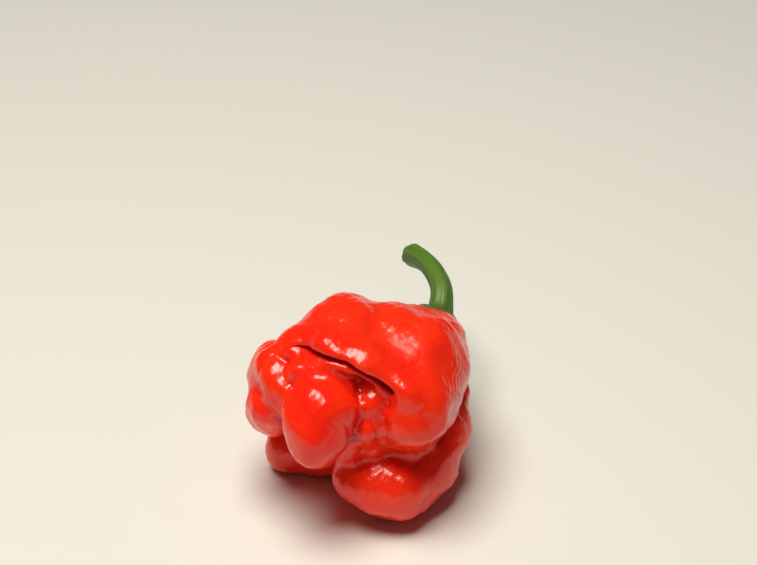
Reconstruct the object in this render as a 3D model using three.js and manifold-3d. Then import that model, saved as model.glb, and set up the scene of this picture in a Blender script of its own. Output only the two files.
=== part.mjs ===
// A small, deeply folded chilli pepper that lies on its side on a table.
// Millimetres, +Z up. The blossom end looks forwards and up, the stalk leaves backwards.
import * as THREE from "three";
import { MarchingCubes } from "three/addons/objects/MarchingCubes.js";
import { mergeVertices } from "three/addons/utils/BufferGeometryUtils.js";
import Module from "manifold-3d";

// The pod is described in a frame of its own, turned to look straight at the blossom end:
// x to the right, y up the face, z out of the face. Its origin hangs over the table.
const faceHeight = 15;
const faceTilt = 38; // degrees that the face leans back from upright

// A run of beads, each [x, y, z, radius], with the skin drawn straight from bead to bead.
// A swelling is an ellipsoid: middle and three radii. The hollow is taken away instead of added.
const beadBlend = 1.5;
const lobes = {
  core: {
    blend: 0,
    within: 4,
    runs: [[[4, 4, -7, 11.3], [0.5, 1, -1, 11], [-2.5, 2.5, 4, 9]]],
  },
  // the shoulders that carry the stalk, hidden from the front
  shoulders: {
    blend: 3,
    within: 1.5,
    runs: [
      [[10.3, 9.4, -3.4, 6.8]],
      [[12.4, 5.6, -6.4, 5.2]],
      [[6, 1.7, -13.2, 9]],
      [[-2, 7.3, -10.2, 7.3]],
    ],
  },
  backLobe: { blend: 1.2, within: 1.5, runs: [[[-5.5, 0.7, -11.5, 6.8]]] },
  // the big dome over the right half of the face, with its rolled lip
  dome: {
    blend: 2,
    within: 2,
    swellings: [
      { at: [6, 5.5, 2], radii: [11.6, 10.6, 12] },
      { at: [-1.8, 9.4, 3.6], radii: [7.4, 8, 11] },
      { at: [9.2, 0.1, 6], radii: [5.9, 6.1, 7.2] },
      { at: [8.2, -0.8, 12.6], radii: [5.8, 5.6, 3.4] },
    ],
    runs: [
      [[7.2, 0.6, 8.4, 7.6], [7, 7.4, 4.6, 7.8]],
      [[-9.2, 8.6, 8.5, 3.3], [-5, 10.4, 6.5, 4.2]],
      [
        [-8.6, 9, 11.4, 2.6], [-3.8, 8, 13.7, 3.1], [1, 5.9, 14.2, 3.5],
        [4.8, 3.4, 13.6, 3.4], [7.2, 1.2, 12.6, 3.5],
      ],
    ],
  },
  // the hollow beside the lip's right end, open outwards, that the knob and the rib come out of
  hollow: {
    isHollow: true,
    blend: 2.2,
    within: 1,
    runs: [[[-0.6, 1.5, 15.2, 2.4], [2, -0.2, 15, 2.4], [1.4, -3.4, 13.4, 2.2], [1.4, -6.2, 11.6, 2.2]]],
  },
  // the fat roll under the dome, which the pod stands on
  roll: {
    blend: 0.8,
    within: 4,
    runs: [
      [
        [-0.2, -11.4, 3, 3.8], [2.6, -12, 3, 4.6], [6, -12.4, 2.6, 5.2],
        [10.2, -8.8, -0.2, 5.2], [12.7, -3.4, -1.5, 5], [13.4, 2, -4, 4.4],
      ],
      [[4.6, -11.5, -1.7, 4.9], [8, -11, -2.4, 4.9]],
    ],
  },
  cheek: { blend: 0.8, within: 1, swellings: [{ at: [-12.9, -0.3, 3.5], radii: [4.6, 4.6, 7.5] }] },
  collar: { blend: 1.6, within: 1.5, swellings: [{ at: [-12, 5, 4], radii: [5.2, 5.2, 7] }] },
  // the low lobe behind the knob, also on the table
  toe: {
    blend: 1,
    within: 4,
    runs: [[[-11, -6.7, -8.9, 4.1], [-6, -7, -9.1, 4.3], [-2, -7, -7.9, 4.5]]],
  },
  ridge: {
    blend: 0.8,
    within: 1.2,
    runs: [
      [[-11.2, 8.5, 9.6, 1.8], [-13.1, 6.4, 9.6, 2.1], [-12.2, 4.4, 10.9, 2.3], [-11, 2.6, 11.8, 2.2]],
      [[-12.9, 4.5, 9.6, 2.3], [-12.2, 1.6, 10.2, 2], [-11.2, -0.2, 10.8, 1.8]],
    ],
  },
  // the tooth-shaped lobe in front, and the shelf along its top
  knob: {
    blend: 0.6,
    within: 3,
    swellings: [
      { at: [-5.2, -0.4, 13.4], radii: [5.7, 5, 4.6] },
      { at: [-6.4, -3.2, 13.6], radii: [4.7, 5.8, 4.8] },
    ],
    runs: [[[-5.5, -5.8, 13, 2.9]]],
  },
  shelf: {
    blend: 1.2,
    within: 1.2,
    runs: [[[-8.9, 5, 12.8, 1.9], [-5.5, 5, 13.8, 2], [-1.7, 3.4, 13.1, 2]]],
  },
  // the rib beside the knob, with a web at its foot
  rib: {
    blend: 1.4,
    within: 1.5,
    runs: [
      [
        [1.6, 3.4, 11.2, 1.8], [2.4, 1.2, 12.4, 2.2], [1.7, -1.4, 12, 1.8], [1.5, -3, 11.6, 1.7],
        [1.8, -4.6, 10, 1.5], [2.2, -6.2, 7.6, 1.5], [2.6, -7.8, 5, 1.6],
      ],
      [[-1, -4.8, 8.6, 2.4], [-1, -7.4, 4.4, 2.8]],
    ],
  },
  // the fold tucked in under the dome
  tuck: {
    blend: 1.6,
    within: 1,
    runs: [[[4.4, -6.4, 5.4, 1.6], [7.4, -6.9, 5.2, 1.8], [10.2, -6, 4.4, 1.5]]],
  },
};

// The slit under the dome's lip: [x, y, half width] at this height out of the face.
// It runs in under the lip, so it shifts by slitRun for each millimetre outwards.
const slitHeight = 15.5;
const slitDepth = 7;
const slitReach = 5;
const slitRun = [-0.3, -0.55];
const slit = [
  [-9.9, 6.5, 0.12], [-9, 7, 0.14], [-7.4, 7.2, 0.16], [-5.4, 7.2, 0.2], [-3, 7, 0.26],
  [-1.1, 6.7, 0.26], [1, 5.4, 0.3], [2.9, 4.1, 0.36], [4.2, 3, 0.42], [5.1, 2.2, 0.45],
];

// The calyx sits on the back right shoulder, and grooves run out from under it.
const calyxPlace = new THREE.Vector3(12.6, 16.5, 19.4);
const calyxUp = new THREE.Vector3(0.28, 0.9, 0.33).normalize();
const grooves = [
  { turn: 100, depth: 0.9, width: 2.6, bend: -0.01 },
  { turn: 165, depth: 1.3, width: 1.7, bend: 0.012 },
  { turn: 222, depth: 1.5, width: 1.6, bend: -0.008 },
  { turn: 278, depth: 1.2, width: 1.5, bend: 0.01 },
  { turn: 335, depth: 0.8, width: 1.6, bend: 0.006 },
];

// The stalk, from the calyx to its cut end in the air behind the pod.
const stalkTurns = [[13.4, 21.4, 21.8], [12.4, 25.8, 22.2], [10.8, 30.3, 21.5], [8.8, 34.8, 19.8]];
const stalkSides = 24;
const stalkRibs = 6;
const stalkRibHeight = 0.07;
const calyxGap = 0.35;
const calyxTeeth = 5;
const calyxToothLength = 0.06;
// outside this radius and below this height the lathe is laid on the skin
const calyxEdge = 3.1;
const calyxThickness = 1.3;
// radius and height along the stalk, from the middle of the calyx round to the hollow in the cut end
const stalkProfile = [
  [0, 0], [1.6, 0], [3.1, 0], [4.1, 0], [4.8, 0], [5.1, 0.3],
  [4.8, 0.75], [4.1, 0.95], [3.4, 1.15], [2.7, 2], [2.2, 3.2], [1.95, 5], [1.78, 7.5],
  [1.7, 10], [1.66, 12.5], [1.64, 15], [1.64, 17.5], [1.66, 20], [1.7, 22.5], [1.78, 25], [1.88, 27],
  [1.94, 28.3], [1.85, 28.8], [1.15, 28.75], [0.98, 27.8], [0.6, 26.7], [0, 26.5],
];

// Meshing of the pod
const cellSize = 1.3;
const gridSize = 38;
const gridMiddle = new THREE.Vector3(0, 1, 14);
const closestCrossing = 0.12;
const smoothingPasses = 4;
const creaseSmoothing = 0.35;

const skinColour = 0xe3260f;
const stalkColour = 0x5f8f22;

const tilt = THREE.MathUtils.degToRad(faceTilt);
const faceOrigin = new THREE.Vector3(0, 0, faceHeight);
const faceX = new THREE.Vector3(1, 0, 0);
const faceY = new THREE.Vector3(0, Math.sin(tilt), Math.cos(tilt));
const faceZ = new THREE.Vector3(0, -Math.cos(tilt), Math.sin(tilt));
const calyxSide = new THREE.Vector3(0, 0, 1).cross(calyxUp).normalize();
const calyxAcross = calyxUp.clone().cross(calyxSide);

function smoothMin(a, b, blend) {
  if (blend === 0) return Math.min(a, b);
  const h = Math.max(blend - Math.abs(a - b), 0) / blend;
  return Math.min(a, b) - (h * h * blend) / 4;
}

// Distance from a point of the face frame to a tapered link between two beads.
// A hollow one has straight walls outwards from its middle.
function linkDistance(q, [x0, y0, z0, r0], [x1, y1, z1, r1], isHollow) {
  const run = new THREE.Vector3(x1 - x0, y1 - y0, z1 - z0);
  const from = new THREE.Vector3(q.x - x0, q.y - y0, q.z - z0);
  const length = run.lengthSq();
  const along = length === 0 ? 0 : THREE.MathUtils.clamp(from.dot(run) / length, 0, 1);
  const away = from.addScaledVector(run, -along);
  if (isHollow) away.z = Math.min(away.z, 0);
  return away.length() - THREE.MathUtils.lerp(r0, r1, along);
}

function runDistance(q, beads, isHollow) {
  if (beads.length === 1) return linkDistance(q, beads[0], beads[0], isHollow);
  return beads.slice(1).reduce((least, bead, i) => {
    const distance = linkDistance(q, beads[i], bead, isHollow);
    return i === 0 ? distance : smoothMin(least, distance, beadBlend);
  }, 0);
}

function swellingDistance(q, { at, radii }) {
  const local = [q.x - at[0], q.y - at[1], q.z - at[2]];
  const scaled = Math.hypot(...local.map((v, i) => v / radii[i]));
  const slope = Math.hypot(...local.map((v, i) => v / radii[i] ** 2));
  return (scaled * (scaled - 1)) / Math.max(slope, 1e-9);
}

function grooveDepth(p) {
  const from = p.clone().sub(calyxPlace);
  const u = from.dot(calyxSide);
  const v = from.dot(calyxAcross);
  const depth = grooves.reduce((sum, groove) => {
    const c = Math.cos(THREE.MathUtils.degToRad(groove.turn));
    const s = Math.sin(THREE.MathUtils.degToRad(groove.turn));
    const along = c * u + s * v;
    const across = c * v - s * u - groove.bend * along ** 2;
    const reach = THREE.MathUtils.smoothstep(along, 2, 7) * (1 - THREE.MathUtils.smoothstep(along, 15, 26));
    return sum + groove.depth * Math.exp(-((across / groove.width) ** 2)) * reach;
  }, 0);
  return depth * THREE.MathUtils.smoothstep(from.dot(calyxUp), -19, -13);
}

// Low uneven waves over the whole skin
function ripple({ x, y, z }) {
  const broad = Math.sin(0.9 * x + 1.3 * Math.sin(0.45 * y)) * Math.sin(0.8 * y + 0.9 * Math.sin(0.6 * z));
  return 0.16 * broad + 0.12 * Math.sin(1.1 * z + 0.5 * x);
}

// Signed distance to the pod's skin, negative inside
function skinDistance(p) {
  const from = p.clone().sub(faceOrigin);
  const q = new THREE.Vector3(from.dot(faceX), from.dot(faceY), from.dot(faceZ));
  let whole = Infinity;
  for (const { isHollow, blend, within, swellings = [], runs = [] } of Object.values(lobes)) {
    const pieces = [
      ...swellings.map((swelling) => swellingDistance(q, swelling)),
      ...runs.map((beads) => runDistance(q, beads, isHollow)),
    ];
    const lobe = pieces.reduce((least, distance) => smoothMin(least, distance, within));
    if (whole === Infinity) whole = lobe;
    else whole = isHollow ? -smoothMin(-whole, lobe, blend) : smoothMin(whole, lobe, blend);
  }
  return whole - ripple(p) + grooveDepth(p);
}

function skinSlope(p) {
  const step = 0.05;
  const slope = ["x", "y", "z"].map((axis) => {
    const ahead = p.clone();
    const behind = p.clone();
    ahead[axis] += step;
    behind[axis] -= step;
    return (skinDistance(ahead) - skinDistance(behind)) / (2 * step);
  });
  return new THREE.Vector3(...slope);
}

function settleOnSkin(p) {
  const slope = skinSlope(p);
  const move = skinDistance(p) / Math.max(slope.lengthSq(), 0.2);
  return p.addScaledVector(slope, -THREE.MathUtils.clamp(move, -0.6, 0.6));
}

// The skin as a closed mesh: marching cubes on the distance, then a few rounds in which each
// point moves towards the middle of its neighbours and back onto the skin.
function buildSkin() {
  const cubes = new MarchingCubes(gridSize, new THREE.MeshStandardMaterial(), false, false, 20000);
  const half = gridSize / 2;
  cubes.isolation = 0;
  for (let k = 0; k < gridSize; k++) {
    for (let j = 0; j < gridSize; j++) {
      for (let i = 0; i < gridSize; i++) {
        const p = new THREE.Vector3(i - half, j - half, k - half).multiplyScalar(cellSize).add(gridMiddle);
        const inward = -skinDistance(p);
        cubes.setCell(i, j, k, Math.sign(inward || 1) * Math.max(Math.abs(inward), closestCrossing));
      }
    }
  }
  cubes.update();
  const loose = new THREE.BufferGeometry();
  const drawn = cubes.positionArray.slice(0, cubes.count * 3);
  loose.setAttribute("position", new THREE.BufferAttribute(drawn, 3));
  loose.scale(half, half, half);
  const skin = mergeVertices(loose, 1e-4);
  skin.scale(cellSize, cellSize, cellSize);
  skin.translate(...gridMiddle);

  const position = skin.getAttribute("position");
  const corners = skin.index.array;
  const neighbours = Array.from({ length: position.count }, () => new Set());
  for (let t = 0; t < corners.length; t += 3) {
    for (let c = 0; c < 3; c++) {
      neighbours[corners[t + c]].add(corners[t + ((c + 1) % 3)]);
      neighbours[corners[t + c]].add(corners[t + ((c + 2) % 3)]);
    }
  }
  let places = Array.from({ length: position.count }, (_, i) =>
    new THREE.Vector3().fromBufferAttribute(position, i));
  for (let pass = 0; pass < smoothingPasses; pass++) {
    places = places.map((place, i) => {
      const middle = new THREE.Vector3();
      neighbours[i].forEach((n) => middle.add(places[n]));
      return settleOnSkin(place.clone().lerp(middle.divideScalar(neighbours[i].size), 0.6));
    });
  }
  places.forEach((place, i) => {
    const middle = new THREE.Vector3();
    neighbours[i].forEach((n) => middle.add(places[n]));
    position.setXYZ(i, ...place.clone().lerp(middle.divideScalar(neighbours[i].size), creaseSmoothing));
  });
  return skin;
}

// The solid that the slit takes away, as an extrusion that leans in under the lip
function buildSlit() {
  const above = slit.map(([x, y, half]) => new THREE.Vector2(x + 0.4 * half, y + half));
  const below = slit.map(([x, y, half]) => new THREE.Vector2(x - 0.4 * half, y - half));
  const outline = new THREE.Shape([...below, ...above.reverse()]);
  const cutter = new THREE.ExtrudeGeometry(outline, { depth: slitDepth + slitReach, bevelEnabled: false });
  cutter.translate(0, 0, -slitDepth);
  const lean = faceZ.clone().addScaledVector(faceX, slitRun[0]).addScaledVector(faceY, slitRun[1]);
  const place = new THREE.Matrix4().makeBasis(faceX, faceY, lean);
  return cutter.applyMatrix4(place.setPosition(faceOrigin.clone().addScaledVector(faceZ, slitHeight)));
}

// Where a line parallel to the calyx's axis, u and v beside it, comes within a height of the skin
function castOntoSkin(u, v, height) {
  const foot = calyxPlace.clone().addScaledVector(calyxSide, u).addScaledVector(calyxAcross, v);
  const at = (reach) => foot.clone().addScaledVector(calyxUp, reach);
  let outer = 9;
  let inner = outer;
  while (skinDistance(at(inner)) > height && inner > -9) inner -= 0.25;
  outer = inner + 0.25;
  for (let i = 0; i < 18; i++) {
    const middle = (outer + inner) / 2;
    if (skinDistance(at(middle)) > height) outer = middle;
    else inner = middle;
  }
  return at((outer + inner) / 2);
}

// Calyx and stalk in one: a lathe whose calyx is laid on the skin and whose stem follows a curve
function buildStalk() {
  const profile = stalkProfile.map(([radius, height]) => new THREE.Vector2(radius, height));
  const stalk = new THREE.LatheGeometry(profile, stalkSides);
  const start = castOntoSkin(0, 0, calyxGap);
  const curve = new THREE.CatmullRomCurve3([
    start,
    start.clone().addScaledVector(calyxUp, 2.5),
    ...stalkTurns.map((turn) => new THREE.Vector3(...turn)),
  ]);
  const frameCount = 80;
  const frames = [];
  let side = calyxSide.clone();
  for (let i = 0; i <= frameCount; i++) {
    const tangent = curve.getTangentAt(i / frameCount);
    side = side.clone().addScaledVector(tangent, -side.dot(tangent)).normalize();
    frames.push({ side, across: tangent.clone().cross(side) });
  }
  const longest = Math.max(...stalkProfile.map(([, height]) => height));
  const position = stalk.getAttribute("position");
  for (let i = 0; i < position.count; i++) {
    const turn = Math.atan2(position.getX(i), position.getZ(i));
    const height = position.getY(i);
    let radius = Math.hypot(position.getX(i), position.getZ(i));
    if (height <= calyxThickness && (radius > calyxEdge || height === 0)) {
      const spread = THREE.MathUtils.smoothstep(radius, calyxEdge, 5.1);
      radius *= 1 + calyxToothLength * spread * Math.cos(calyxTeeth * turn);
      const place = castOntoSkin(radius * Math.cos(turn), radius * Math.sin(turn), calyxGap + height);
      position.setXYZ(i, ...place);
    } else {
      const share = height / longest;
      const { side: u, across: v } = frames[Math.round(share * frameCount)];
      if (radius > 1.5) radius += stalkRibHeight * Math.cos(stalkRibs * turn);
      const place = curve.getPointAt(Math.min(share, 1))
        .addScaledVector(u, radius * Math.cos(turn))
        .addScaledVector(v, radius * Math.sin(turn));
      position.setXYZ(i, ...place);
    }
  }
  return stalk;
}

const wasm = await Module();
wasm.setup();

function toSolid(geometry) {
  const bare = geometry.clone();
  bare.deleteAttribute("normal");
  bare.deleteAttribute("uv");
  const merged = mergeVertices(bare, 1e-3);
  const corners = [];
  for (let t = 0; t < merged.index.count; t += 3) {
    const [a, b, c] = merged.index.array.slice(t, t + 3);
    if (a !== b && b !== c && c !== a) corners.push(a, b, c);
  }
  return new wasm.Manifold(new wasm.Mesh({
    numProp: 3,
    vertProperties: merged.getAttribute("position").array,
    triVerts: new Uint32Array(corners),
  }));
}

function toGeometry(solid) {
  const mesh = solid.getMesh();
  const geometry = new THREE.BufferGeometry();
  geometry.setAttribute("position", new THREE.BufferAttribute(mesh.vertProperties, 3));
  geometry.setIndex(new THREE.BufferAttribute(mesh.triVerts, 1));
  geometry.computeVertexNormals();
  return geometry;
}

// the pod rests on small flat spots, where its lobes press on the table
const belowTable = new THREE.BoxGeometry(120, 120, 20).translate(0, 0, -10);
const podSolid = toSolid(buildSkin()).subtract(toSolid(buildSlit())).subtract(toSolid(belowTable));

const pod = new THREE.Mesh(
  toGeometry(podSolid),
  new THREE.MeshStandardMaterial({ color: skinColour, roughness: 0.25, metalness: 0 }),
);
pod.name = "pod";

const stalk = new THREE.Mesh(
  toGeometry(toSolid(buildStalk())),
  new THREE.MeshStandardMaterial({ color: stalkColour, roughness: 0.45, metalness: 0 }),
);
stalk.name = "stalk";

// the origin is on the table, under the middle of the whole pepper
const pepper = new THREE.Group();
pepper.add(pod, stalk);
const middle = new THREE.Box3().setFromObject(pepper).getCenter(new THREE.Vector3());
for (const mesh of pepper.children) mesh.position.set(-middle.x, -middle.y, 0);

export default pepper;
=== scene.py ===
import math
import time
import bpy
import numpy as np
from mathutils import Matrix, Vector


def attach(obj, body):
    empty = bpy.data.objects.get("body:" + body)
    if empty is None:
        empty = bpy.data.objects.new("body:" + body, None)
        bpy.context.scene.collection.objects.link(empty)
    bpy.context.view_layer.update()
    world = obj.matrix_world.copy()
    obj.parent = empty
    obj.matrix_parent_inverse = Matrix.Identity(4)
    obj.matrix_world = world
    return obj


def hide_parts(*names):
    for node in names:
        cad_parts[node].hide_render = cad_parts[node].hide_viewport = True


started = time.time()
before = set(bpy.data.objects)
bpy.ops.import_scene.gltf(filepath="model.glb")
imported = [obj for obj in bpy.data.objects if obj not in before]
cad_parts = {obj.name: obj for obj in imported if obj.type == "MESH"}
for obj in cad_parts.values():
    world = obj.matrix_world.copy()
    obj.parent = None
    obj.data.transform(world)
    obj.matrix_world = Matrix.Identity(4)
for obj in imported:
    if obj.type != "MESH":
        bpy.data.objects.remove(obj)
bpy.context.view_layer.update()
scene = bpy.context.scene
mm = 0.001
podToRow = np.array([-0.3047, -8.8194, 0.0])  # mm, from the pod's own middle to the row's origin

# In mm. The face's frame has x to the right, y up the blossom end's face and z out of it. A lobe has
# runs of beads [x, y, z, radius] joined by straight links, and swellings with a middle and three radii.
# within rounds the joins in a lobe, blend the join to the lobes before it, and a carved lobe cuts in.
# The calyx and the stem are given in the pod's own frame, which has +Z up.
pod = {
    "faceHeight": 15.0,
    "faceTilt": 38.0,
    "beadBlend": 1.5,
    "lobes": {
        "core": dict(blend=0, within=4, runs=[[[4, 4, -7, 11.3], [0.5, 1, -1, 11], [-2.5, 2.5, 4, 9]]]),
        "shoulders": dict(blend=3, within=1.5, runs=[
            [[10.3, 9.4, -3.4, 6.8]], [[12.4, 5.6, -6.4, 5.2]],
            [[6, 1.7, -13.2, 9]], [[-2, 7.3, -10.2, 7.3]]]),
        "backLobe": dict(blend=1.2, within=1.5, runs=[[[-5.5, 0.7, -11.5, 6.8]]]),
        "dome": dict(blend=2, within=2, swellings=[
            ([6, 5.5, 2], [11.6, 10.6, 12]), ([-1.8, 9.4, 3.6], [7.4, 8, 11]),
            ([9.2, 0.1, 6], [5.9, 6.1, 7.2]), ([8.2, -0.8, 12.6], [5.8, 5.6, 3.4])],
            runs=[
                [[7.2, 0.6, 8.4, 7.6], [7, 7.4, 4.6, 7.8]],
                [[-9.2, 8.6, 8.8, 3.4], [-5, 10.4, 7.4, 4.2]],
                [[-8.4, 8.7, 10.8, 2.7], [-3.8, 8, 13.7, 3.1], [1, 5.9, 14.2, 3.5],
                 [4.8, 3.4, 13.6, 3.4], [7.2, 1.2, 12.6, 3.5]]]),
        # the hollow under the lip's right end, open outwards, that the knob and the rib come out of
        "hollow": dict(carve=True, blend=2.2, runs=[[
            [-0.6, 1.5, 15.2, 2.4], [2, -0.2, 15, 2.4], [1.4, -3.4, 13.4, 2.2], [1.4, -6.2, 11.6, 2.2]]]),
        "roll": dict(blend=0.8, within=4, runs=[
            [[-0.2, -11.4, 3, 3.8], [2.6, -12, 3, 4.6], [6, -12.4, 2.6, 5.2],
             [10.2, -8.8, -0.2, 5.2], [12.7, -3.4, -1.5, 5], [13.4, 2, -4, 4.4]],
            [[4.6, -11.5, -1.7, 4.9], [8, -11, -2.4, 4.9]]]),
        "cheek": dict(blend=0.8, within=1, swellings=[([-12.9, -0.3, 3.5], [4.6, 4.6, 7.5])]),
        "collar": dict(blend=1.6, within=1.5, swellings=[([-12, 5.0, 4], [5.2, 5.2, 7])]),
        "toe": dict(blend=1, within=4, runs=[
            [[-11, -6.7, -8.9, 4.1], [-6, -7, -9.1, 4.3], [-2, -7, -7.9, 4.5]]]),
        "ridge": dict(blend=0.8, within=1.2, runs=[
            [[-11.2, 8.5, 9.6, 1.8], [-13.1, 6.4, 9.6, 2.1],
             [-12.2, 4.4, 10.9, 2.3], [-11, 2.6, 11.8, 2.2]],
            [[-12.9, 4.5, 9.6, 2.3], [-12.2, 1.6, 10.2, 2], [-11.2, -0.2, 10.8, 1.8]]]),
        "knob": dict(blend=0.6, within=3, swellings=[
            ([-5.2, -0.4, 13.4], [5.7, 5, 4.6]), ([-6.4, -3.2, 13.6], [4.7, 5.8, 4.8])],
            runs=[[[-5.5, -5.8, 13, 2.9]]]),
        "shelf": dict(blend=1.2, within=1.2, runs=[
            [[-8.9, 5, 12.8, 1.9], [-5.5, 5, 13.8, 2], [-1.7, 3.4, 13.1, 2]]]),
        "rib": dict(blend=1.4, within=1.5, runs=[
            [[1.6, 3.4, 11.2, 1.8], [2.4, 1.2, 12.4, 2.2], [1.7, -1.4, 12, 1.8], [1.5, -3, 11.6, 1.7],
             [1.8, -4.6, 10, 1.5], [2.2, -6.2, 7.6, 1.5], [2.6, -7.8, 5, 1.6]],
            [[-1, -4.8, 8.6, 2.4], [-1, -7.4, 4.4, 2.8]]]),
        "tuck": dict(blend=1.6, within=1, runs=[
            [[4.4, -6.4, 5.4, 1.6], [7.4, -6.9, 5.2, 1.8], [10.2, -6, 4.4, 1.5]]]),
    },
    # the slit under the lip: x, y and half width at slitHeight
    "slit": [[-10.4, 7.3, -0.3], [-9.4, 7.3, 0], [-7.4, 7.4, 0.25], [-5.4, 7.4, 0.35], [-3, 7.1, 0.28],
             [-1.1, 6.7, 0.24], [1, 5.4, 0.25], [2.9, 4.1, 0.35], [4.2, 3, 0.5], [5.1, 2.2, 0.5]],
    "slitHeight": 15.5,
    "slitRun": [-0.3, -0.55],  # sideways for each mm down, so that it leans in under the lip
    "slitDepth": 5.0,  # under the skin, where it has closed
    "slitReach": 7.0,  # under slitHeight, where it ends
    "slitRounding": 1.3,
    "calyxPlace": [12.6, 16.5, 19.4],
    "calyxUp": [0.28, 0.9, 0.33],
    # turn round the calyx in degrees, depth, width, bend
    "grooves": [[100, 0.9, 2.6, -0.01], [165, 1.3, 1.7, 0.012], [222, 1.5, 1.6, -0.008],
                [278, 1.2, 1.5, 0.01], [335, 0.8, 1.6, 0.006]],
    "grooveStart": [2, 7],  # out from the calyx, where the grooves fade in
    "grooveEnd": [15, 26],
    "grooveFloor": [-19, -13],  # along the calyx's axis, where they fade out below
    "ripple": [0.16, 0.12],
    # small swells, from a search for where the lamp glints, then moved a little: x, y, z, reach, height
    "swells": {
        "lipEnd": [7.8, 1.8, 16.8, 2, 0.8],
        "ribTop": [1.6, -0.4, 15, 1.6, 0.5],
        "ribMiddle": [1.7, -4.6, 13.4, 1.5, 0.6],
        "besideRib": [3.8, -3.3, 11.8, 1.5, 0.8],  # fills a pit between the lobes
    },
    "crinkle": 0.05,
    "wrinkle": dict(depth=0.06, at=[14.2, 3.8, 9], spread=[2.6, 5, 5], across=[3.6, -2.4, -3.8],
                    wander=[1.1, 1.6, 0.4], sway=1.8),
    "inset": 0.17,  # keeps the skin within the solid's box
    # the grid that the skin is wrapped from
    "cell": 0.3,
    "blockCells": 4,
    "nearSkin": 2.2,
    "low": [-19.2, -19.2, -0.75],
    "high": [19.2, 22.8, 36.45],
    "closingRounds": 8,
    "relaxing": 4,
    "longestStep": 0.3,
    "leastSlope": 0.3,
    # for the painted shade in the folds: how far out to look, and its share
    "foldShadeReaches": [[0.8, 0.3], [2.0, 0.35], [4.0, 0.35]],
    "dullPatch": [7.9, 8.3, 13.2, 3.2],  # x, y, z, reach
}


def unit(v):
    return np.array(v, float) / np.linalg.norm(v)


tilt = math.radians(pod["faceTilt"])
faceAxes = np.array([
    [1, 0, 0], [0, math.sin(tilt), math.cos(tilt)], [0, -math.cos(tilt), math.sin(tilt)]])
faceOrigin = np.array([0, 0, pod["faceHeight"]])
calyxPlace = np.array(pod["calyxPlace"])
calyxUp = unit(pod["calyxUp"])
calyxSide = unit(np.cross([0, 0, 1], calyxUp))
calyxAcross = np.cross(calyxUp, calyxSide)


# the lesser of two distances, rounded where they are within blend of each other
def smoothMin(a, b, blend):
    if blend == 0:
        return np.minimum(a, b)
    h = np.maximum(blend - np.abs(a - b), 0) / blend
    return np.minimum(a, b) - h * h * blend / 4


# 0 up to low and 1 from high on, with a level start and end
def smoothStep(x, low, high):
    t = np.clip((x - low) / (high - low), 0, 1)
    return t * t * (3 - 2 * t)


# distance to a link: to its nearest point, less a radius that changes evenly from bead to bead
# (an open one has straight walls outwards from its middle)
def linkDistance(q, a, b, isOpen):
    start, run = np.array(a[:3], float), np.array(b[:3], float) - a[:3]
    length = max(run @ run, 1e-9)
    along = np.clip((q - start) @ run / length, 0, 1)
    away = q - start - along[:, None] * run
    if isOpen:
        away[:, 2] = np.minimum(away[:, 2], 0)
    return np.linalg.norm(away, axis=1) - (a[3] + along * (b[3] - a[3]))


# distance to a run: the lesser distance of its links
def runDistance(q, beads, isOpen):
    links = list(zip(beads[:-1], beads[1:])) or [(beads[0], beads[0])]
    whole = linkDistance(q, *links[0], isOpen)
    for a, b in links[1:]:
        whole = smoothMin(whole, linkDistance(q, a, b, isOpen), pod["beadBlend"])
    return whole


# distance to an ellipsoid: scaled radius times (scaled radius - 1) over its slope
def swellingDistance(q, middle, radii):
    away = q - middle
    scaled = np.linalg.norm(away / radii, axis=1)
    slope = np.linalg.norm(away / np.square(radii), axis=1)
    return scaled * (scaled - 1) / np.maximum(slope, 1e-9)


# valleys that leave the calyx like spokes: a bell curve across each, faded in and out along it
def grooveDepth(p):
    q = p - calyxPlace
    u, v = q @ calyxSide, q @ calyxAcross
    depth = np.zeros(len(p))
    for turn, deep, width, bend in pod["grooves"]:
        c, s = math.cos(math.radians(turn)), math.sin(math.radians(turn))
        along = c * u + s * v
        across = c * v - s * u - bend * along ** 2
        fade = smoothStep(along, *pod["grooveStart"]) * (1 - smoothStep(along, *pod["grooveEnd"]))
        depth += deep * np.exp(-(across / width) ** 2) * fade
    return depth * smoothStep(q @ calyxUp, *pod["grooveFloor"])


# low uneven waves, sines of sines
def ripple(p):
    x, y, z = p.T
    broadHeight, levelHeight = pod["ripple"]
    broad = np.sin(0.9 * x + 1.3 * np.sin(0.45 * y)) * np.sin(0.8 * y + 0.9 * np.sin(0.6 * z))
    return broadHeight * broad + levelHeight * np.sin(1.1 * z + 0.5 * x)


# the fine crinkle that breaks up the highlights: two products of sines, each with its phase bent by
# another sine
def crinkle(p):
    x, y, z = p.T
    wide = np.sin(2.4 * x + 1.7 * np.sin(0.9 * y + 0.6 * z))
    wide = wide * np.sin(2.1 * y + 1.5 * np.sin(1.1 * z + 0.4 * x) + 0.7 * z)
    fine = np.sin(5.2 * x + 1.9 * np.sin(2.3 * z) + y)
    fine = fine * np.sin(4.3 * z + 1.6 * np.sin(2.9 * y) + 2.1 * y)
    return pod["crinkle"] * (wide + 0.65 * fine)


# streaks on the dome's right flank: a wandering sine across them, in a patch that fades out
def wrinkle(q):
    streaks = pod["wrinkle"]
    patch = np.exp(-(((q - streaks["at"]) / streaks["spread"]) ** 2).sum(1))
    wander = np.sin(q @ np.array(streaks["wander"]))
    return streaks["depth"] * patch * np.sin(q @ np.array(streaks["across"]) + streaks["sway"] * wander)


# each a bell curve of the distance from its middle
def swells(q):
    height = np.zeros(len(q))
    for *middle, reach, rise in pod["swells"].values():
        height += rise * np.exp(-((q - middle) ** 2).sum(1) / reach ** 2)
    return height


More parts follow.
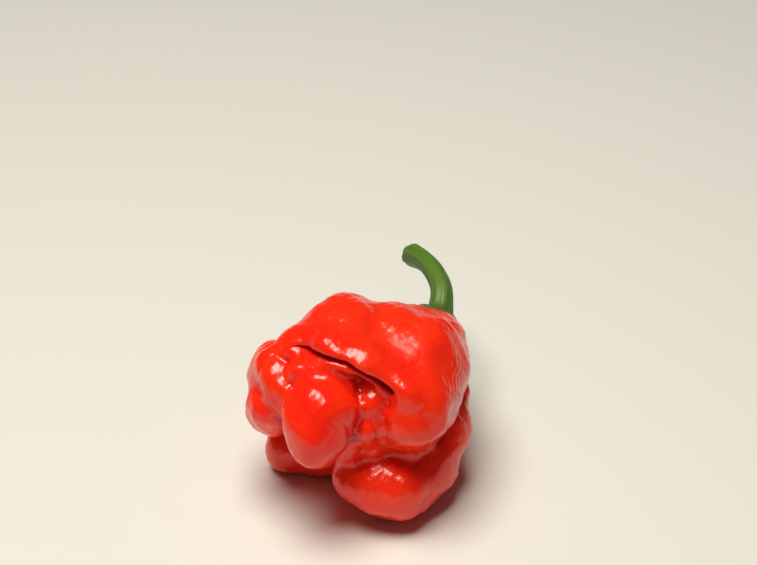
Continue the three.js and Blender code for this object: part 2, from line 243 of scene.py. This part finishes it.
# across the slit: distance to its line in a frame that leans with it, less a half width that closes
# with depth
def slitDistance(q, skin):
    depth = pod["slitHeight"] - q[:, 2]
    x = q[:, 0] + pod["slitRun"][0] * depth
    y = q[:, 1] + pod["slitRun"][1] * depth
    closing = np.clip(1 + skin / pod["slitDepth"], 0, 2)
    least = np.full(len(q), 1e3)
    for a, b in zip(pod["slit"][:-1], pod["slit"][1:]):
        run = np.array(b[:2]) - a[:2]
        along = np.clip(((x - a[0]) * run[0] + (y - a[1]) * run[1]) / (run @ run), 0, 1)
        across = np.hypot(x - a[0] - along * run[0], y - a[1] - along * run[1])
        least = np.minimum(least, across - (a[2] + along * (b[2] - a[2])) * closing)
    return np.maximum(least, depth - pod["slitReach"])


# signed distance in mm to the skin at points p of the pod's frame, negative inside
def skinDistance(p):
    q = (p - faceOrigin) @ faceAxes.T
    whole = None
    for lobe in pod["lobes"].values():
        pieces = [swellingDistance(q, *s) for s in lobe.get("swellings", [])]
        pieces += [runDistance(q, beads, "carve" in lobe) for beads in lobe.get("runs", [])]
        part = pieces[0]
        for piece in pieces[1:]:
            part = smoothMin(part, piece, lobe["within"])
        if "carve" in lobe:
            whole = -smoothMin(-whole, part, lobe["blend"])
        else:
            whole = part if whole is None else smoothMin(whole, part, lobe["blend"])
    whole = whole - ripple(p) - crinkle(p) - wrinkle(q) - swells(q) + grooveDepth(p) + pod["inset"]
    return -smoothMin(-whole, slitDistance(q, whole), pod["slitRounding"])


# the distance's slope along x, y and z, from its change over two steps
def skinSlope(p, step=0.04):
    slopes = [skinDistance(p + step * e) - skinDistance(p - step * e) for e in np.eye(3)]
    return np.stack(slopes, 1) / (2 * step)


# fills in wherever the inside touches itself only at a diagonal, so that no edge has four faces
def closeDiagonals(inside):
    for _ in range(pod["closingRounds"]):
        before = inside.sum()
        for first, second in ((0, 1), (1, 2), (2, 0)):
            view = np.moveaxis(inside, (first, second), (0, 1))
            a, b, c, d = view[:-1, :-1], view[1:, :-1], view[:-1, 1:], view[1:, 1:]
            touching = (a == d) & (b == c) & (a != b)
            for corner in (a, b, c, d):
                corner |= touching
        if inside.sum() == before:
            break
    return inside


# each side of each four-cornered face, as its two points
def sidesOf(quads):
    return np.concatenate([quads[:, [a, (a + 1) % 4]] for a in range(4)])


# Closed surface where the distance is zero. The folds overhang one another, so no grid of two
# parameters can carry them: a grid of three does, with a point in each cell that the skin crosses
# and a face across each grid line that it crosses, all as whole arrays.
def wrapSkin():
    cell, low, coarse = pod["cell"], np.array(pod["low"]), pod["blockCells"]
    blocks = np.ceil((pod["high"] - low) / (coarse * cell)).astype(int)
    counts = blocks * coarse
    middles = np.stack(np.meshgrid(*[np.arange(n) for n in blocks], indexing="ij"), -1).reshape(-1, 3)
    rough = skinDistance(low + (middles + 0.5) * coarse * cell).reshape(blocks)
    spread = rough
    for axis in range(3):
        spread = np.repeat(spread, coarse, axis)
    values = spread.copy()
    near = np.abs(spread) < pod["nearSkin"]
    values[near] = skinDistance(low + np.argwhere(near) * cell)
    heights = low[2] + np.arange(counts[2]) * cell
    values = np.maximum(values, -heights)  # the pod is flat where it stands on the table

    inside = closeDiagonals(values < 0)
    ends = [slice(0, -1), slice(1, None)]
    total = sum(inside[i, j, k].astype(np.int8) for i in ends for j in ends for k in ends)
    crossed = (total > 0) & (total < 8)
    index = np.full(crossed.shape, -1)
    index[crossed] = np.arange(crossed.sum())
    points = low + (np.argwhere(crossed) + 0.5) * cell

    quads = []
    for axis in range(3):
        second, third = (axis + 1) % 3, (axis + 2) % 3
        own = np.moveaxis(inside, (axis, second, third), (0, 1, 2))
        cells = np.moveaxis(index, (axis, second, third), (0, 1, 2))
        change = own[:-1, 1:-1, 1:-1] != own[1:, 1:-1, 1:-1]
        outward = own[:-1, 1:-1, 1:-1]
        i, j, k = np.nonzero(change)
        ring = [cells[i, j, k], cells[i, j + 1, k], cells[i, j + 1, k + 1], cells[i, j, k + 1]]
        ring = np.stack(ring, 1)
        backward = ~outward[i, j, k]
        ring[backward] = ring[backward][:, ::-1]
        quads.append(ring)
    quads = np.concatenate(quads)

    edges = sidesOf(quads)
    both = np.concatenate([edges, edges[:, ::-1]])
    valence = np.bincount(both[:, 0], minlength=len(points))
    for _ in range(pod["relaxing"]):
        middle = [np.bincount(both[:, 0], points[both[:, 1], c], len(points)) for c in range(3)]
        middle = np.stack(middle, 1) / valence[:, None]
        points = points + 0.5 * (middle - points)
        slope = skinSlope(points)
        move = skinDistance(points) / np.maximum((slope ** 2).sum(1), pod["leastSlope"])
        points = points - np.clip(move, -pod["longestStep"], pod["longestStep"])[:, None] * slope
        points[:, 2] = np.maximum(points[:, 2], 0)
    return points, quads


# painted shade for the folds: how much of the way out of the skin is taken up by skin nearby, 0 in the open
# and 1 deep in a crease
def foldShadeShare(points):
    slope = skinSlope(points)
    normal = slope / np.maximum(np.linalg.norm(slope, axis=1), 1e-6)[:, None]
    share = np.zeros(len(points))
    for reach, weight in pod["foldShadeReaches"]:
        share += weight * np.clip(1 - skinDistance(points + normal * reach) / reach, 0, 1)
    return share


# where the skin is less shiny: a bell curve of the distance from the patch's middle
def dullShare(points):
    *middle, reach = pod["dullPatch"]
    q = (points - faceOrigin) @ faceAxes.T
    return np.exp(-((q - middle) ** 2).sum(1) / reach ** 2)


# attributes: one number, or one vector, for each point
def newPiece(name, points, faces, replaced, attributes):
    mesh = bpy.data.meshes.new(name)
    mesh.from_pydata((points + podToRow) * mm, [], faces)
    mesh.polygons.foreach_set("use_smooth", np.ones(len(mesh.polygons), bool))
    for key, values in attributes.items():
        kind, field = ("FLOAT", "value") if values.ndim == 1 else ("FLOAT_VECTOR", "vector")
        mesh.attributes.new(key, kind, "POINT").data.foreach_set(field, values.astype(np.float32).ravel())
    mesh.update()
    piece = bpy.data.objects.new(name, mesh)
    scene.collection.objects.link(piece)
    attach(piece, "root")
    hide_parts(replaced)
    return piece


# how many edges don't join two faces: none in a closed skin
def oddEdges(quads):
    counts = np.unique(np.sort(sidesOf(quads), 1), axis=0, return_counts=True)[1]
    return int((counts != 2).sum())


def report(*words):
    print(*words, round(time.time() - started, 1), "s")


podPoints, podFaces = wrapSkin()
# the pod's skin, with a share of painted shade for its folds and a patch of duller finish
podSkin = newPiece("podSkin", podPoints, podFaces.tolist(), "pod", {
    "foldShade": foldShadeShare(podPoints), "dull": dullShare(podPoints)})
report("pod skin:", len(podPoints), "points,", len(podFaces), "faces,", oddEdges(podFaces), "odd edges,")


# calyx and stem: radius and height along the stalk, from under the calyx to the hollow in the cut end
stem = {
    "turns": [[13.4, 21.4, 21.8], [12.4, 25.8, 22.2], [10.8, 30.3, 21.5], [8.8, 34.8, 19.8]],
    "profile": [
        [0, 0], [1.6, 0], [3.1, 0], [4.1, 0], [4.8, 0], [5.1, 0.3],
        [4.8, 0.75], [4.1, 0.95], [3.4, 1.15], [2.7, 2], [2.2, 3.2], [1.95, 5], [1.78, 7.5],
        [1.7, 10], [1.66, 12.5], [1.64, 15], [1.64, 17.5], [1.66, 20], [1.7, 22.5], [1.78, 25],
        [1.88, 27], [1.94, 28.3], [1.85, 28.8], [1.15, 28.75], [0.98, 27.8], [0.6, 26.7], [0, 26.5]],
    "around": 96,
    "perSpan": 6,
    "cornerRounds": 3,
    "straightStart": 2.5,
    "pathSteps": 30,
    # how many round the calyx, coarse and fine, and how long the fine ones are against the coarse
    "teeth": [5, 11],
    "fineTooth": 0.25,
    "toothLength": 0.06,
    # the same round the stem, wherever its radius is over ribbedFrom
    "ribs": [6, 13],
    "fineRib": 0.4,
    "ribTwist": 0.3,
    "ribHeight": 0.07,
    "ribbedFrom": 1.5,
    "skinGap": 0.35,
    "calyxRadius": 5.1,
    "calyxEdge": 3.1,
    "calyxSink": -0.3,
    "calyxRise": 0.12,
    "calyxTop": 0.9,
    "footHeight": 2.4,
    # along the calyx's axis, where the skin under it is looked for
    "castFrom": 4.0,
    "castTo": -6.0,
    "halvings": 16,
    "lieRadius": 1.7,  # of the round bar that the fibres are drawn on
}


# a smooth curve through the given points: a cubic for each span, whose slopes at the ends come from
# the spans beside it, each weighed by the square root of its length
def throughPoints(knots, samples):
    k = np.array(knots, float)
    k = np.concatenate([[2 * k[0] - k[1]], k, [2 * k[-1] - k[-2]]])
    spans = []
    for a, b, c, d in zip(k[:-3], k[1:-2], k[2:-1], k[3:]):
        t0, t1, t2 = (max(np.linalg.norm(v), 1e-4) ** 0.5 for v in (b - a, c - b, d - c))
        m1 = (b - a) / t0 - (c - a) / (t0 + t1) + (c - b) / t1
        m2 = (c - b) / t1 - (d - b) / (t1 + t2) + (d - c) / t2
        t = np.linspace(0, 1, samples, endpoint=False)[:, None]
        fromStart, toEnd = 2 * t ** 3 - 3 * t ** 2 + 1, -2 * t ** 3 + 3 * t ** 2
        leaving, coming = t ** 3 - 2 * t ** 2 + t, t ** 3 - t ** 2
        spans.append(fromStart * b + leaving * m1 * t1 + toEnd * c + coming * m2 * t1)
    return np.concatenate(spans + [k[-2:-1]])


# where lines parallel to the calyx's axis come within a height of the skin, by halving
def castOntoSkin(u, v, height):
    foot = calyxPlace + u[:, None] * calyxSide + v[:, None] * calyxAcross
    outer, inner = np.full(len(u), stem["castFrom"]), np.full(len(u), stem["castTo"])
    for _ in range(stem["halvings"]):
        middle = (outer + inner) / 2
        out = skinDistance(foot + middle[:, None] * calyxUp) > height
        outer, inner = np.where(out, middle, outer), np.where(out, inner, middle)
    return foot + ((outer + inner) / 2)[:, None] * calyxUp


# Profile carried along a path: ring i is the profile's radius at its height, set across the stem's
# curve; the calyx's rings are laid on the skin instead. The other parameter is the turn round it.
def buildStem():
    profile = np.array(stem["profile"], float)
    spans = [np.linspace(a, b, stem["perSpan"], endpoint=False) for a, b in zip(profile[:-1], profile[1:])]
    fine = np.concatenate(spans + [profile[-1:]])
    radius, height = fine.T
    for _ in range(stem["cornerRounds"]):  # each rounds the profile's corners a little more
        radius[1:-1] = (radius[:-2] + 2 * radius[1:-1] + radius[2:]) / 4
        height[1:-1] = (height[:-2] + 2 * height[1:-1] + height[2:]) / 4
    rings, around = len(fine), stem["around"]
    turn = np.arange(around) / around * 2 * math.pi
    r = np.repeat(radius[:, None], around, 1)
    h = np.repeat(height[:, None], around, 1)
    t = np.repeat(turn[None, :], rings, 0)

    start = castOntoSkin(np.zeros(1), np.zeros(1), stem["skinGap"])[0]
    path = throughPoints([start, start + stem["straightStart"] * calyxUp] + stem["turns"], stem["pathSteps"])
    steps = np.concatenate([[0], np.cumsum(np.linalg.norm(np.diff(path, axis=0), axis=1))])
    tangent = np.gradient(path, steps, axis=0)
    tangent /= np.linalg.norm(tangent, axis=1)[:, None]
    sides = [calyxSide]
    for direction in tangent:
        side = sides[-1] - (sides[-1] @ direction) * direction
        sides.append(side / np.linalg.norm(side))
    sides = np.array(sides[1:])
    at = height / height.max() * steps[-1]
    middle, side, ahead = (
        np.stack([np.interp(at, steps, a[:, c]) for c in range(3)], 1) for a in (path, sides, tangent))
    side /= np.linalg.norm(side, axis=1)[:, None]
    across = np.cross(ahead, side)

    ribs, fineRibs = stem["ribs"]
    ribbing = np.cos(ribs * t) + stem["fineRib"] * np.cos(fineRibs * t + stem["ribTwist"] * h)
    stemRadius = r + np.where(r > stem["ribbedFrom"], 1, 0) * stem["ribHeight"] * ribbing
    outwards = np.cos(t)[..., None] * side[:, None] + np.sin(t)[..., None] * across[:, None]
    tube = middle[:, None] + stemRadius[..., None] * outwards

    # the calyx is laid on the skin, its underside sunk a little into it, and the stem's foot joins it
    teeth, fineTeeth = stem["teeth"]
    spread = smoothStep(r, stem["calyxEdge"], stem["calyxRadius"])
    toothing = np.cos(teeth * t) + stem["fineTooth"] * np.sin(fineTeeth * t + 1)
    wavy = 1 + stem["toothLength"] * spread * toothing
    laid = (np.arange(rings)[:, None] < rings // 2) & (h < stem["footHeight"])
    raised = np.where(h < 0.1, stem["calyxSink"], h + stem["calyxRise"])
    onSkin = castOntoSkin((r * wavy * np.cos(t))[laid], (r * wavy * np.sin(t))[laid], raised[laid])
    share = smoothStep(h[laid], stem["calyxTop"], stem["footHeight"])[:, None]
    tube[laid] = onSkin + share * (tube[laid] - onSkin)
    return tube, r, h, t


# rings of a grid with a lone point at either end: the grid points that stay, and the faces
def closedRings(rings, around):
    stay = np.concatenate([[0], np.arange(around, (rings - 1) * around), [(rings - 1) * around]])
    j = np.arange(around)
    after = (j + 1) % around
    i = np.arange(rings - 3)[:, None] * around + 1
    quads = np.stack([i + j, i + after, i + around + after, i + around + j], -1).reshape(-1, 4)
    last = len(stay) - 1
    firstFan = np.stack([0 * j, 1 + after, 1 + j], 1)
    lastFan = np.stack([last - around + j, last - around + after, last + 0 * j], 1)
    return stay, quads.tolist() + firstFan.tolist() + lastFan.tolist()


grid, stemR, stemH, stemT = buildStem()
stemRings, stemAround = stemR.shape
stay, stemFaces = closedRings(stemRings, stemAround)
stemLie = np.stack([stem["lieRadius"] * np.cos(stemT), stem["lieRadius"] * np.sin(stemT), stemH], -1)
stemEnd = np.repeat(np.arange(stemRings) / stemRings, stemAround)
stalk = newPiece("calyxAndStem", grid.reshape(-1, 3)[stay], stemFaces, "stalk", {
    "height": stemH.ravel()[stay], "inEnd": stemEnd[stay], "radius": stemR.ravel()[stay],
    "lie": stemLie.reshape(-1, 3)[stay] * mm})
report("stem:", len(stay), "points,")


class Wire:
    # a socket of a node tree, so that shader maths reads as sums
    def __init__(self, tree, socket=None):
        self.tree, self.socket = tree, socket

    # any node: its type, its settings, the values or links of its sockets, and the output to go on from
    def node(self, kind, settings={}, sockets={}, output=0):
        made = self.tree.nodes.new(kind)
        for key, value in settings.items():
            setattr(made, key, value)
        fillSockets(made, sockets)
        return Wire(self.tree, made.outputs[output])

    def sum(self, operation, first, second):
        return self.node("ShaderNodeMath", {"operation": operation}, {0: first, 1: second})

    def __add__(self, other):
        return self.sum("ADD", self, other)

    def __radd__(self, other):
        return self.sum("ADD", other, self)

    def __sub__(self, other):
        return self.sum("SUBTRACT", self, other)

    def __rsub__(self, other):
        return self.sum("SUBTRACT", other, self)

    def __mul__(self, other):
        return self.sum("MULTIPLY", self, other)

    def __rmul__(self, other):
        return self.sum("MULTIPLY", other, self)

    # 0 up to low and 1 from high on
    def between(self, low, high):
        return self.node("ShaderNodeMapRange", {"interpolation_type": "SMOOTHSTEP"}, {
            "Value": self, "From Min": low, "From Max": high})

    # from the first colour at 0 to the second at 1 (sockets 6 and 7 and output 2 are the colours)
    def mixed(self, first, second):
        return self.node("ShaderNodeMix", {"data_type": "RGBA"}, {
            "Factor": self, 6: colour(first), 7: colour(second)}, 2)

    def noise(self, scale, detail=2, roughness=0.5):
        return self.node("ShaderNodeTexNoise", {}, {
            "Vector": self, "Scale": scale, "Detail": detail, "Roughness": roughness})


def colour(value):
    return value if isinstance(value, Wire) else (*value, 1)


# links the sockets that are given a wire, and sets the others
def fillSockets(node, values):
    for key, value in values.items():
        if isinstance(value, Wire):
            value.tree.links.new(value.socket, node.inputs[key])
        else:
            node.inputs[key].default_value = value


def newMaterial(name):
    material = bpy.data.materials.new(name)
    material.use_nodes = True
    shader = material.node_tree.nodes["Principled BSDF"]
    return material, shader, Wire(material.node_tree)


skinLook = {
    "bright": (0.95, 0.019, 0.004),
    "warm": (1.0, 0.034, 0.006),
    # painted shade: the dark colour that the folds are given, and the share of skin nearby over which it
    # comes in
    "deep": (0.55, 0.004, 0.003),
    "foldShadeRange": (0.25, 0.85),
    # noises, in waves to the metre
    "patches": 110,
    "blotches": 300,
    "dimples": 900,
    "pores": 2600,
    "poreShare": 0.35,
    "refraction": 1.5,
    "roughness": 0.21,
    "blotchRoughness": 0.14,
    "dullRoughness": 0.25,
    "bump": {"Strength": 0.6, "Distance": 0.00012},
    # light that goes in and comes out red nearby
    "depth": {"Subsurface Weight": 0.5, "Subsurface Radius": (1.0, 0.06, 0.03), "Subsurface Scale": 0.004},
}


def paintSkin():
    material, shader, start = newMaterial("pepperSkin")
    place = start.node("ShaderNodeTexCoord", {}, {}, "Object")
    foldShade = start.node("ShaderNodeAttribute", {"attribute_name": "foldShade"}, {}, "Fac")
    dull = start.node("ShaderNodeAttribute", {"attribute_name": "dull"}, {}, "Fac")
    patch = place.noise(skinLook["patches"], 3).between(0.35, 0.7)
    shade = patch.mixed(skinLook["bright"], skinLook["warm"])
    # painted shade: the colour darkens where skin nearby closes over the way out
    base = foldShade.between(*skinLook["foldShadeRange"]).mixed(shade, skinLook["deep"])
    pores = place.noise(skinLook["pores"], 3, 0.6)
    dimples = place.noise(skinLook["dimples"])
    blotch = place.noise(skinLook["blotches"])
    rough = skinLook["roughness"] + (blotch - 0.5) * skinLook["blotchRoughness"]
    rough = rough + dull * skinLook["dullRoughness"]
    relief = pores * skinLook["poreShare"] + dimples
    bump = start.node("ShaderNodeBump", {}, {**skinLook["bump"], "Height": relief})
    fillSockets(shader, {
        "Base Color": base, "Roughness": rough, "Normal": bump, "IOR": skinLook["refraction"],
        **skinLook["depth"]})
    return material


stemLook = {
    "green": (0.04, 0.12, 0.006),
    "light": (0.09, 0.19, 0.014),
    "calyx": (0.07, 0.11, 0.014),
    "brown": (0.23, 0.13, 0.05),
    "cutRim": (0.62, 0.66, 0.27),
    "hollow": (0.10, 0.17, 0.02),
    # mm along the stem, mm in radius, and shares of the rings from the calyx to the hollow's bottom
    "calyxRunsOut": (1.5, 6),
    "brownFrom": (4.5, 5.05),
    "rimFrom": (0.845, 0.862),
    "hollowFrom": (0.885, 0.93),
    "fibres": 2600,
    "streaks": 900,
    "stretch": (1, 1, 0.06),
    "brownBlots": 700,
    "grain": 1400,
    "grainShare": 0.5,
    "roughness": 0.38,
    "fibreRoughness": 0.2,
    "bump": {"Strength": 0.5, "Distance": 0.00015},
    "depth": {"Subsurface Weight": 0.08, "Subsurface Radius": (0.5, 1.0, 0.2), "Subsurface Scale": 0.0008},
}


def paintStem():
    material, shader, start = newMaterial("pepperStem")
    lie = start.node("ShaderNodeAttribute", {"attribute_name": "lie"}, {}, "Vector")
    place = start.node("ShaderNodeTexCoord", {}, {}, "Object")
    height = start.node("ShaderNodeAttribute", {"attribute_name": "height"}, {}, "Fac")
    inEnd = start.node("ShaderNodeAttribute", {"attribute_name": "inEnd"}, {}, "Fac")
    radius = start.node("ShaderNodeAttribute", {"attribute_name": "radius"}, {}, "Fac")
    stretched = start.node("ShaderNodeMapping", {}, {"Vector": lie, "Scale": stemLook["stretch"]})
    fibre = stretched.noise(stemLook["fibres"], 3, 0.6)
    streaks = stretched.noise(stemLook["streaks"])
    body = streaks.between(0.35, 0.65).mixed(stemLook["green"], stemLook["light"])
    towardsCalyx = 1 - height.between(*stemLook["calyxRunsOut"])
    body = towardsCalyx.mixed(body, stemLook["calyx"])
    rim = radius.between(*stemLook["brownFrom"]) * place.noise(stemLook["brownBlots"]).between(0.4, 0.6)
    body = rim.mixed(body, stemLook["brown"])
    body = inEnd.between(*stemLook["rimFrom"]).mixed(body, stemLook["cutRim"])
    body = inEnd.between(*stemLook["hollowFrom"]).mixed(body, stemLook["hollow"])
    rough = stemLook["roughness"] + fibre * stemLook["fibreRoughness"]
    relief = fibre + place.noise(stemLook["grain"], 3) * stemLook["grainShare"]
    bump = start.node("ShaderNodeBump", {}, {**stemLook["bump"], "Height": relief})
    fillSockets(shader, {"Base Color": body, "Roughness": rough, "Normal": bump, **stemLook["depth"]})
    return material


podSkin.data.materials.append(paintSkin())
stalk.data.materials.append(paintStem())
report("materials:")

table = {"size": 3.0, "colour": (0.77, 0.77, 0.735), "roughness": 0.55}


def layTable():
    half = table["size"] / 2
    mesh = bpy.data.meshes.new("tabletop")
    corners = [(-half, -half, 0), (half, -half, 0), (half, half, 0), (-half, half, 0)]
    mesh.from_pydata(corners, [], [(0, 1, 2, 3)])
    top = bpy.data.objects.new("tabletop", mesh)
    scene.collection.objects.link(top)
    material, shader, start = newMaterial("paleTable")
    fillSockets(shader, {"Base Color": colour(table["colour"]), "Roughness": table["roughness"]})
    mesh.materials.append(material)


layTable()

# azimuth 0 is on the camera's side and 90 to its right; metres and watts
lights = {
    "topBox": dict(azimuth=-45, elevation=79, distance=0.5, size=0.3, power=3.2, colour=(1, 0.95, 0.84)),
}
room = {"aim": (0, 0, 0.015), "colour": (1, 0.95, 0.88), "strength": 0.05}


def hangLights():
    for name, spec in lights.items():
        data = bpy.data.lights.new(name, "AREA")
        data.shape, data.size = "DISK", spec["size"]
        data.energy, data.color = spec["power"], spec["colour"]
        lamp = bpy.data.objects.new(name, data)
        a, e = math.radians(spec["azimuth"]), math.radians(spec["elevation"])
        away = Vector((math.sin(a) * math.cos(e), -math.cos(a) * math.cos(e), math.sin(e)))
        lamp.location = away * spec["distance"] + Vector(room["aim"])
        lamp.rotation_mode = "QUATERNION"
        lamp.rotation_quaternion = away.to_track_quat("Z", "Y")
        scene.collection.objects.link(lamp)
    world = bpy.data.worlds.new("room")
    scene.world = world
    world.use_nodes = True
    background = world.node_tree.nodes["Background"]
    fillSockets(background, {"Color": colour(room["colour"]), "Strength": room["strength"]})
    scene.view_settings.view_transform = "Standard"


hangLights()

# the photograph's view: focal length and place in pixels of its picture, the pod's middle and the
# distance in mm
view = {
    "focal": 2146.0,
    "width": 757,
    "height": 565,
    "elevation": 34.7,
    "podPixel": (358, 405),
    "podMiddle": (0, 0, 15),
    "distance": 335.0,
    "sensor": 36,
    "clip": (0.01, 10),
}


def setCamera():
    e = math.radians(view["elevation"])
    right = np.array([1.0, 0, 0])
    up = np.array([0, math.sin(e), math.cos(e)])
    back = np.array([0, -math.cos(e), math.sin(e)])
    ray = right * (view["podPixel"][0] - view["width"] / 2) / view["focal"] \
        + up * (view["height"] / 2 - view["podPixel"][1]) / view["focal"] - back
    place = np.array(view["podMiddle"]) - view["distance"] * unit(ray) + podToRow
    data = bpy.data.cameras.new("photoView")
    data.sensor_width = view["sensor"]
    data.lens = view["focal"] / view["width"] * data.sensor_width
    data.clip_start, data.clip_end = view["clip"]
    camera = bpy.data.objects.new("photoView", data)
    turned = [(*row, 0) for row in np.stack([right, up, back], 1).tolist()]
    camera.matrix_world = Matrix(turned + [(0, 0, 0, 1)])
    camera.location = place * mm
    scene.collection.objects.link(camera)
    scene.camera = camera


setCamera()

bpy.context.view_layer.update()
report("scene ready:")
